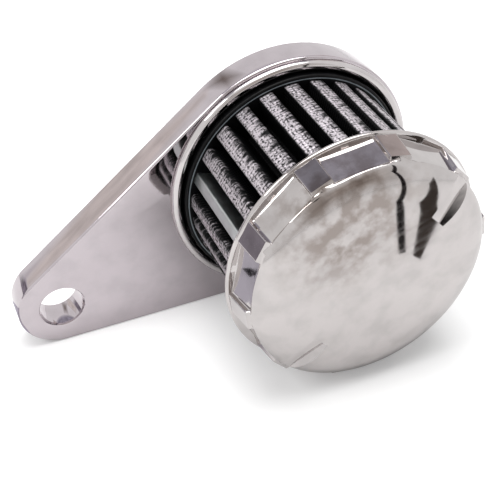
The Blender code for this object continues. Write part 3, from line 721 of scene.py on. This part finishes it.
def chrome(name, rgb, ripple, polish=0.045, stain=0.06, reflection_patch_at=None):
    """Chrome plate over polished steel: nickel-bright, a mirror with a faint waviness left by the
    polishing wheel, wipe marks 1.4 mm wide that only just dull it, and, round a place given, a
    painted reflection: a warmer, darker, blotchy patch painted into its colour."""
    material, tree = begin(name)
    place = on_part(tree)
    wave = add(tree, "TexNoise", {"Scale": 1 / 0.009, "Detail": 1.0}, {"Vector": place})
    fine = add(tree, "TexNoise", {"Scale": 1 / 0.0016, "Detail": 2.0}, {"Vector": place})
    both = add(tree, "Math", {"operation": "MULTIPLY_ADD", 1: 0.12}, {0: fine, 2: wave})
    bump = add(tree, "Bump", {"Strength": 1.0, "Distance": ripple}, {"Height": both})
    wipe_place = add(tree, "Mapping", {"Rotation": (0.3, 0.2, 0.9), "Scale": (60, 700, 700)},
                     {"Vector": place})
    wipe = add(tree, "TexNoise", {"Scale": 1.0, "Detail": 4.0}, {"Vector": wipe_place})
    dull = add(tree, "MapRange", {"From Min": 0.45, "From Max": 0.75, "To Min": polish,
                                  "To Max": polish + 0.05}, {"Value": wipe})
    cloud = add(tree, "TexNoise", {"Scale": 1 / 0.006, "Detail": 5.0}, {"Vector": place})
    clean = add(tree, "MapRange", {"From Min": 0.36, "From Max": 0.56}, {"Value": cloud})
    tone = add(tree, "Mix", {"data_type": "RGBA", 6: shade(rgb, 1 - stain), 7: shade(rgb, 1.02)},
               {0: clean})
    shown = tone.outputs[2]
    # Painted reflection: a warmer, darker, blotchy patch round the place given, painted into the colour
    if reflection_patch_at:
        away = add(tree, "VectorMath", {"operation": "DISTANCE", 1: reflection_patch_at}, {0: place})
        near = add(tree, "MapRange", {"From Min": 0.0205, "From Max": 0.008},
                   {"Value": away.outputs["Value"]})
        blot = add(tree, "TexNoise", {"Scale": 1 / 0.004, "Detail": 5.0}, {"Vector": place})
        spots = add(tree, "MapRange", {"From Min": 0.40, "From Max": 0.60, "To Min": 0.15},
                    {"Value": blot})
        share = add(tree, "Math", {"operation": "MULTIPLY"}, {0: near, 1: spots})
        reflection_patch_tint = (rgb[0] * 0.56, rgb[1] * 0.52, rgb[2] * 0.49, 1.0)
        shown = add(tree, "Mix", {"data_type": "RGBA", 7: reflection_patch_tint}, {0: share, 6: shown}).outputs[2]
    end(tree, add(tree, "BsdfPrincipled", {"Metallic": 1.0},
                  {"Base Color": shown, "Roughness": dull, "Normal": bump}))
    return material


def zinc(name, rgb, rough):
    """Zinc plate on turned steel: greyer and softer than chrome, with the tool's 0.1 mm rings."""
    material, tree = begin(name)
    place = on_part(tree)
    rings = add(tree, "Mapping", {"Scale": (60, 60, 9000)}, {"Vector": place})
    marks = add(tree, "TexNoise", {"Scale": 1.0, "Detail": 2.0}, {"Vector": rings})
    cloud = add(tree, "TexNoise", {"Scale": 1 / 0.003, "Detail": 3.0}, {"Vector": place})
    tone = add(tree, "Mix", {"data_type": "RGBA", 6: shade(rgb, 0.75), 7: shade(rgb, 1.1)}, {0: cloud})
    gloss = add(tree, "MapRange", {"To Min": rough - 0.06, "To Max": rough + 0.1}, {"Value": cloud})
    bump = add(tree, "Bump", {"Strength": 1.0, "Distance": 0.00001}, {"Height": marks})
    end(tree, add(tree, "BsdfPrincipled", {"Metallic": 1.0},
                  {"Base Color": tone.outputs[2], "Roughness": gloss, "Normal": bump}))
    return material


def nitrile(name, rgb, rough, lip=1.0):
    """Nitrile rubber, moulded: near black, with a soft sheen broken by fine pores and dust, and a
    painted highlight, a thin pale line round it at the radius given."""
    material, tree = begin(name)
    place = on_part(tree)
    grain = add(tree, "TexNoise", {"Scale": 1 / 0.0005, "Detail": 4.0}, {"Vector": place})
    dust = add(tree, "TexNoise", {"Scale": 1 / 0.004, "Detail": 3.0}, {"Vector": place})
    share = add(tree, "MapRange", {"From Min": 0.5, "From Max": 0.8}, {"Value": dust})
    tone = add(tree, "Mix", {"data_type": "RGBA", 6: shade(rgb), 7: shade(rgb, 3.0)}, {0: share})
    gloss = add(tree, "MapRange", {"To Min": rough - 0.08, "To Max": rough + 0.12}, {"Value": grain})
    bump = add(tree, "Bump", {"Strength": 0.6, "Distance": 0.00003}, {"Height": grain})
    # Painted highlight: a thin pale line at the radius given, standing for light caught on the ring's lip
    away = add(tree, "Math", {"operation": "SUBTRACT", 1: lip}, {0: off_axis(tree, place)})
    near = add(tree, "Math", {"operation": "ABSOLUTE"}, {0: away})
    lip_highlight_mask = add(tree, "MapRange", {"From Min": 0.00017, "From Max": 0.00007}, {"Value": near})
    # Painted highlight: the pale line's colour mixed over the rubber
    worn = add(tree, "Mix", {"data_type": "RGBA", 7: shade(linear("868E93"))},
               {0: lip_highlight_mask, 6: tone.outputs[2]})
    end(tree, add(tree, "BsdfPrincipled", {"Specular IOR Level": 0.12},
                  {"Base Color": worn.outputs[2], "Roughness": gloss, "Normal": bump}))
    return material


def wire_cloth(name, rgb, gauze_and_fold_shade, s):
    """Woven steel wire, with painted light: a painted highlight along the crests, where its wires
    catch the light, ending in a ragged painted shadow edge on the side that turns away, and painted
    shade down the folds, as black as the oily gauze that also shows through there. Only the painted
    highlight is metallic. The wires are drawn as coarse as they need to be to show, at the spacing given."""
    material, tree = begin(name)
    cloth = add(tree, "UVMap", {"uv_map": "cloth"})
    along_up = add(tree, "SeparateXYZ", links={0: cloth})
    waves = []
    for axis in (0, 1):
        turn = add(tree, "Math", {"operation": "MULTIPLY", 1: pi / (s.pitch * MM)},
                   {0: along_up.outputs[axis]})
        waves.append(add(tree, "Math", {"operation": "COSINE"}, {0: turn}))
    over = add(tree, "Math", {"operation": "MULTIPLY"}, {0: waves[0], 1: waves[1]})
    weave = add(tree, "Math", {"operation": "ABSOLUTE"}, {0: over})
    place = on_part(tree)
    speck = add(tree, "TexNoise", {"Scale": 1 / 0.0005, "Detail": 1.0}, {"Vector": place})
    cover = add(tree, "Math", {"operation": "MULTIPLY_ADD", 1: 0.22}, {0: weave, 2: speck})
    shown = add(tree, "MapRange", {"From Min": 0.40, "From Max": 0.66}, {"Value": cover})
    # Painted highlight: a lit strip along one side of each pleat's crest, cut off by a ragged painted
    # shadow edge
    spot = add(tree, "SeparateXYZ", links={0: place})
    turn = add(tree, "Math", {"operation": "ARCTAN2"}, {0: spot.outputs[1], 1: spot.outputs[0]})
    slots = s.slots / (2 * pi)
    count = add(tree, "Math", {"operation": "MULTIPLY_ADD", 1: slots, 2: -SEAM_TURN * slots}, {0: turn})
    nearest = add(tree, "Math", {"operation": "ROUND"}, {0: count})
    off = add(tree, "Math", {"operation": "SUBTRACT"}, {0: count, 1: nearest})
    crisp = add(tree, "MapRange", {"From Min": 0.27, "From Max": 0.22}, {"Value": off})
    long_place = add(tree, "VectorMath", {"operation": "MULTIPLY", 1: (260, 260, 1700)}, {0: place})
    ends = add(tree, "TexNoise", {"Scale": 1.0, "Detail": 1.0}, {"Vector": long_place})
    spikes = add(tree, "Math", {"operation": "MULTIPLY_ADD", 1: 0.8}, {0: ends, 2: off})
    ragged = add(tree, "MapRange", {"From Min": 0.14, "From Max": 0.40}, {"Value": spikes})
    strip = add(tree, "Math", {"operation": "MULTIPLY"}, {0: crisp, 1: ragged})
    # Painted shade: the cloth darkens inwards from the crests, so the folds go black
    out = add(tree, "MapRange", {"From Min": s.crest - 0.0016, "From Max": s.crest - 0.0006,
                                 "interpolation_type": "SMOOTHSTEP"}, {"Value": off_axis(tree, place)})
    lit = add(tree, "Math", {"operation": "MULTIPLY"}, {0: strip, 1: out})
    bright = add(tree, "Math", {"operation": "MULTIPLY"}, {0: shown, 1: lit})
    # Wire colour where the painted highlight lies; elsewhere the gauze's black, which is also the painted
    # shade
    tone = add(tree, "Mix", {"data_type": "RGBA", 6: shade(gauze_and_fold_shade), 7: shade(rgb)}, {0: bright})
    bump = add(tree, "Bump", {"Strength": 0.7, "Distance": 0.00012}, {"Height": weave})
    end(tree, add(tree, "BsdfPrincipled", {"Roughness": 0.42, "Specular IOR Level": 0.12},
                  {"Base Color": tone.outputs[2], "Metallic": bright, "Normal": bump}))
    return material


def gauze(name, rgb):
    """Cotton gauze soaked in filter oil: black, with a faint crossed thread and a wet sheen."""
    material, tree = begin(name)
    place = on_part(tree)
    threads = add(tree, "TexNoise", {"Scale": 1 / 0.0006, "Detail": 3.0}, {"Vector": place})
    tone = add(tree, "Mix", {"data_type": "RGBA", 6: shade(rgb, 0.6), 7: shade(rgb, 3.5)}, {0: threads})
    bump = add(tree, "Bump", {"Strength": 0.8, "Distance": 0.0001}, {"Height": threads})
    end(tree, add(tree, "BsdfPrincipled", {"Roughness": 0.7},
                  {"Base Color": tone.outputs[2], "Normal": bump}))
    return material


# Studio


def reflected(name, shape, material):
    """Stand a shape in the studio where only the polished metal sees it."""
    piece = to_object(shape, name, material)
    for ray in ("camera", "diffuse", "shadow", "transmission"):
        setattr(piece, "visible_" + ray, False)


def aimed(place, along):
    """Matrix at a place, with its Z axis along a direction."""
    return Matrix.Translation(place) @ along.to_track_quat("Z", "Y").to_matrix().to_4x4()


def card(name, centre, width, height, code, fade, mottle):
    """A soft-edged, unevenly lit card that faces the part."""
    stand = aimed(centre, PART_MIDDLE - Vector(centre))
    shape = bmesh.new()
    shape.loops.layers.uv.new("card")
    bmesh.ops.create_grid(shape, x_segments=1, y_segments=1, size=0.5, calc_uvs=True,
                          matrix=stand @ Matrix.Diagonal((width, height, 1, 1)))
    material, tree = begin(name)
    spot = add(tree, "UVMap", {"uv_map": "card"})
    middle = add(tree, "VectorMath", {"operation": "SUBTRACT", 1: (0.5, 0.5, 0)}, {0: spot})
    size = add(tree, "VectorMath", {"operation": "ABSOLUTE"}, {0: middle})
    sides = add(tree, "SeparateXYZ", links={0: size})
    edge = add(tree, "Math", {"operation": "MAXIMUM"}, {0: sides.outputs[0], 1: sides.outputs[1]})
    clear = add(tree, "MapRange", {"From Min": 0.5 - fade / 2, "From Max": 0.5}, {"Value": edge})
    cloud = add(tree, "TexNoise", {"Scale": 6.0, "Detail": 4.0}, {"Vector": spot})
    uneven = add(tree, "MapRange", {"From Min": 0.35, "From Max": 0.65}, {"Value": cloud})
    rgb = linear(code)
    tone = add(tree, "Mix", {"data_type": "RGBA", 6: shade(rgb, 1 - mottle), 7: shade(rgb, 1 + mottle)},
               {0: uneven})
    glow = add(tree, "Emission", {"Strength": 1.0}, {"Color": tone.outputs[2]})
    glass = add(tree, "BsdfTransparent")
    end(tree, add(tree, "MixShader", links={0: clear, 1: glow, 2: glass}))
    reflected(name, shape, material)


def strip(name, sides, code):
    """A plain strip through pairs of points in millimetres, one on each of its long edges."""
    shape = bmesh.new()
    rails = [[shape.verts.new([x / MM for x in pair[i]]) for pair in sides] for i in (0, 1)]
    edges = [shape.edges.new(pair) for rail in rails for pair in zip(rail, rail[1:])]
    bmesh.ops.bridge_loops(shape, edges=edges)
    material, tree = begin(name)
    end(tree, add(tree, "Emission", {"Color": shade(linear(code)), "Strength": 1.0}))
    reflected(name, shape, material)


def seen_directly(tree):
    """1 for what the camera sees, straight or in metal or glass."""
    path = add(tree, "LightPath")
    metal = add(tree, "Math", {"operation": "MAXIMUM"},
                {0: path.outputs["Is Camera Ray"], 1: path.outputs["Is Glossy Ray"]})
    return add(tree, "Math", {"operation": "MAXIMUM"}, {0: metal, 1: path.outputs["Is Transmission Ray"]})


def studio_world():
    """White where it is seen, and a soft even light elsewhere."""
    world = bpy.data.worlds.new("studio")
    bpy.context.scene.world = world
    world.use_nodes = True
    tree = world.node_tree
    tree.nodes.clear()
    lit = add(tree, "Background", {"Color": WHITE, "Strength": 0.4})
    shown = add(tree, "Background", {"Color": WHITE, "Strength": 1.0})
    mix = add(tree, "MixShader", links={0: seen_directly(tree), 1: lit, 2: shown})
    add(tree, "OutputWorld", links={"Surface": mix})


def table_top():
    """Pale matt table that keeps the part's shadow, with painted shade round the part, where its glow dims.
    """
    material, tree = begin("white laminate")
    place = add(tree, "TexCoord").outputs["Object"]
    speck = add(tree, "TexNoise", {"Scale": 400.0}, {"Vector": place})
    tone = add(tree, "Mix", {"data_type": "RGBA", 6: shade(linear("E7E7E7")), 7: shade(linear("ECECEC"))},
               {0: speck})
    matt = add(tree, "BsdfDiffuse", links={"Color": tone.outputs[2]})
    path = add(tree, "LightPath")
    straight = add(tree, "Math", {"operation": "MULTIPLY", 1: 0.18}, {0: path.outputs["Is Camera Ray"]})
    # Painted shade: the glow fades towards the part, so the table round it is darker, and so is its
    # reflection in the chrome
    away = add(tree, "VectorMath", {"operation": "LENGTH"}, {0: place})
    far = add(tree, "MapRange", {"From Min": 0.05, "From Max": 1.6, "To Min": 0.05, "To Max": 0.6},
              {"Value": away.outputs["Value"]})
    level = add(tree, "Math", {"operation": "MULTIPLY_ADD"},
                {0: seen_directly(tree), 1: far, 2: straight})
    glow = add(tree, "Emission", {"Color": WHITE}, {"Strength": level})
    end(tree, add(tree, "AddShader", links={0: matt, 1: glow}))
    shape = bmesh.new()
    bmesh.ops.create_grid(shape, x_segments=1, y_segments=1, size=3.0)
    to_object(shape, "table_top", material)


def lamp(name, place, size, power):
    """A soft square lamp aimed at the part."""
    light = bpy.data.lights.new(name, "AREA")
    light.size = size
    light.energy = power
    holder = bpy.data.objects.new(name, light)
    holder.matrix_world = aimed(place, Vector(place) - PART_MIDDLE)
    bpy.context.scene.collection.objects.link(holder)


def camera():
    """The photograph's view, from where the part's outline fits it."""
    lens = bpy.data.cameras.new("view")
    lens.sensor_width = 36.0
    lens.lens = 72.67
    lens.clip_start = 0.01
    holder = bpy.data.objects.new("view", lens)
    place = Vector((-0.06435, -0.17383, 0.15718))
    ahead = Vector((0.2982, 0.7403, -0.6025)).normalized()
    up = Vector((0.2563, 0.5460, 0.7976))
    side = ahead.cross(up).normalized()
    up = side.cross(ahead)
    turn = Matrix((side, up, -ahead)).transposed().to_4x4()
    holder.matrix_world = Matrix.Translation(place) @ turn
    bpy.context.scene.collection.objects.link(holder)
    bpy.context.scene.camera = holder


# Operators


class Step:
    """What the operators share: each makes its pieces in the scene."""

    def execute(self, context):
        self.make(context.scene)
        return {"FINISHED"}


class BREATHER_OT_bracket(Step, Operator):
    """Model the teardrop bracket"""
    bl_idname = "breather.bracket"
    bl_label = "Bracket"

    def make(self, scene):
        finish = chrome("polished chrome on plate steel", scene.breather_colours.plate, 0.000006)
        seat(bracket_shape(scene.breather_bracket), "bracket_plate", finish, "plate_chrome",
             "mounting_plate", sharp=25)


class BREATHER_OT_foot(Step, Operator):
    """Model the spun cup and the moulded base ring"""
    bl_idname = "breather.foot"
    bl_label = "Cup and base ring"

    def make(self, scene):
        sizes = scene.breather_foot
        finish = chrome("polished chrome on spun steel", scene.breather_colours.cup, 0.000003)
        cup = seat(cup_shape(sizes), "spun_cup", finish, "cup_chrome", "base_cup")
        wall = cup.modifiers.new("sheet", "SOLIDIFY")
        wall.thickness = sizes.sheet
        wall.offset = 0.0
        wall.use_even_offset = True
        # Radius of the painted highlight line on the moulded ring
        lip_highlight_radius = sizes.cup_inner - 0.0011
        moulded = nitrile("moulded nitrile rubber", scene.breather_colours.rubber, 0.36, lip_highlight_radius)
        seat(ring_shape(sizes), "moulded_ring", moulded, "base_rubber", "base_end_ring")


class BREATHER_OT_element(Step, Operator):
    """Model the folded wire screen and its seam strip"""
    bl_idname = "breather.element"
    bl_label = "Pleated element"

    def make(self, scene):
        sizes = scene.breather_element
        colours = scene.breather_colours
        # The wire cloth carries a painted highlight on its crests and painted shade down its folds
        cloth = wire_cloth("woven steel wire cloth", colours.wire, colours.gauze_and_fold_shade, sizes)
        screen = seat(screen_shape(sizes), "folded_screen", cloth, "wire_cloth", "wire_screen", sharp=60)
        wall = screen.modifiers.new("sheet", "SOLIDIFY")
        wall.thickness = sizes.wire
        wall.offset = -1.0
        steel = zinc("bare folded steel strip", colours.seam, 0.3)
        seat(seam_shape(sizes), "folded_seam", steel, "seam_steel", "seam_strip")


class BREATHER_OT_cap(Step, Operator):
    """Model the ribbed cap and its two notches"""
    bl_idname = "breather.cap"
    bl_label = "Cap"

    def make(self, scene):
        sizes = scene.breather_cap
        # The cap's face carries a painted reflection, a warm dark patch
        finish = chrome("polished chrome on pressed steel", scene.breather_colours.cap, 0.000003,
                        stain=0.10, reflection_patch_at=(-0.001, 0.020, 0.0411))
        cap = seat(cap_shape(sizes), "pressed_cap", finish, "cap_chrome", "top_cap")
        for i in range(2):
            cut(cap, notch_shape(sizes, sizes.phase + i * pi))
        cap.data.shade_smooth()
        cap.data.set_sharp_from_angle(angle=radians(28))


class BREATHER_OT_fittings(Step, Operator):
    """Model the hose nipple, its split washer and its nut"""
    bl_idname = "breather.fittings"
    bl_label = "Nipple, washer and nut"

    def make(self, scene):
        sizes = scene.breather_turned
        colours = scene.breather_colours
        back = -scene.breather_bracket.thick
        turned = zinc("bright zinc on turned steel", colours.zinc, 0.24)
        seat(nipple_shape(sizes, back), "turned_nipple", turned, "nipple_plating", "hose_nipple")
        sprung = zinc("dark zinc on spring steel", colours.spring, 0.34)
        seat(washer_shape(sizes, back), "split_washer", sprung, "spring_steel", "lock_washer")
        milled = zinc("bright zinc on milled steel", colours.zinc, 0.26)
        seat(nut_shape(sizes, back), "hex_nut", milled, "nut_plating", "lock_nut", sharp=20)


class BREATHER_OT_inside(Step, Operator):
    """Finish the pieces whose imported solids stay"""
    bl_idname = "breather.inside"
    bl_label = "Inner pieces"

    def make(self, scene):
        colours = scene.breather_colours
        finishes = {
            "base_gasket": nitrile("sheet nitrile rubber", colours.rubber, 0.6),
            "nipple_seal": nitrile("turned nitrile rubber", colours.rubber, 0.5),
            "top_end_disc": nitrile("cast nitrile rubber", colours.rubber, 0.45),
            "filter_media": gauze("oiled cotton gauze", colours.gauze_and_fold_shade),
            "inner_tube": zinc("zinc on rolled steel", colours.zinc, 0.35),
        }
        for node, material in finishes.items():
            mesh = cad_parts[node].data
            mesh.materials.clear()
            mesh.materials.append(material)


class BREATHER_OT_studio(Step, Operator):
    """Set the table, the lamps, the cards and the camera"""
    bl_idname = "breather.studio"
    bl_label = "Studio"

    def make(self, scene):
        scene.view_settings.view_transform = "Standard"
        studio_world()
        table_top()
        # Name, centre and size, then a lamp's power, or a card's colour, soft edge and mottle
        lamp("overhead lamp", (0.06, 0.04, 0.88), 0.7, 7.7)
        lamp("side lamp", (-0.55, -0.05, 0.62), 0.3, 2.0)
        card("overhead card", (-0.04, 0.42, 0.76), 1.5, 0.46, "ADABB7", 0.3, 0.3)
        card("left card", (-0.95, 0.55, 0.08), 1.0, 0.45, "96909A", 0.3, 0.6)
        card("front card", (0.1, -0.90, 0.56), 1.7, 1.35, "BBB2AC", 0.8, 0.15)
        card("right card", (0.68, 0.52, 0.58), 0.34, 0.34, "D0C5C3", 0.3, 0.3)
        card("side card", (-0.68, 0.96, 0.45), 0.60, 0.40, "EFE9E2", 0.5, 0.12)
        card("band card", (-0.27, 0.96, 0.70), 0.34, 0.50, "8F8680", 0.9, 0.15)
        card("black card", (-0.355, -0.49, 0.695), 0.11, 0.11, "1A1718", 0.4, 0.3)
        # Plain strips by the part, which only the polished metal mirrors: painted reflections of grey and
        # dark patches and a dark line
        strip("grey reflection patch", [((-80, 0, 1), (-80, 24, 1)), ((-48, 0, 1), (-48, 24, 1))], "CFCCD8")
        strip("black reflection patch", [((-65.5, 9.5, 2), (-64, 12.5, 2)), ((-60, 8.5, 2), (-61.5, 13, 2))], "2A282C")
        strip("dark reflection line", [((90, -70, 150), (95, -85, 140)), ((85, -125, 110), (90, -125, 100)),
                            ((70, -120, 1), (73, -118, 1)), ((45, -70, 1), (47, -70, 1))], "221E1F")
        strip("dark reflection patch", [((110, -120, 35), (125, -110, 55)), ((75, -105, 1), (90, -105, 1)),
                             ((48, -68, 1), (49, -66, 1))], "453E3A")
        camera()


OPERATORS = (BREATHER_OT_bracket, BREATHER_OT_foot, BREATHER_OT_element, BREATHER_OT_cap,
             BREATHER_OT_fittings, BREATHER_OT_inside, BREATHER_OT_studio)
SIZES = {"breather_bracket": BracketSizes, "breather_foot": FootSizes,
         "breather_element": ElementSizes, "breather_cap": CapSizes,
         "breather_turned": TurnedSizes, "breather_colours": FinishColours}


class BREATHER_PT_pieces(Panel):
    """Sizes, colours and steps of the breather filter"""
    bl_idname = "BREATHER_PT_pieces"
    bl_label = "Breather Filter"
    bl_space_type = "VIEW_3D"
    bl_region_type = "UI"
    bl_category = "Breather"

    def draw(self, context):
        for name, group in SIZES.items():
            box = self.layout.box()
            for prop in group.__annotations__:
                box.prop(getattr(context.scene, name), prop)
        for step in OPERATORS:
            self.layout.operator(step.bl_idname)


def register():
    """Add the classes and the scene's sizes."""
    for cls in (*SIZES.values(), *OPERATORS, BREATHER_PT_pieces):
        bpy.utils.register_class(cls)
    for name, group in SIZES.items():
        setattr(bpy.types.Scene, name, PointerProperty(type=group))


def unregister():
    """Take them away again."""
    for name in SIZES:
        delattr(bpy.types.Scene, name)
    for cls in reversed((*SIZES.values(), *OPERATORS, BREATHER_PT_pieces)):
        bpy.utils.unregister_class(cls)


def main():
    """Make every piece and the studio."""
    register()
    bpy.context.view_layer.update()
    bpy.ops.breather.bracket()
    bpy.ops.breather.foot()
    bpy.ops.breather.element()
    bpy.ops.breather.cap()
    bpy.ops.breather.fittings()
    bpy.ops.breather.inside()
    bpy.ops.breather.studio()


if __name__ == "__main__":
    main()
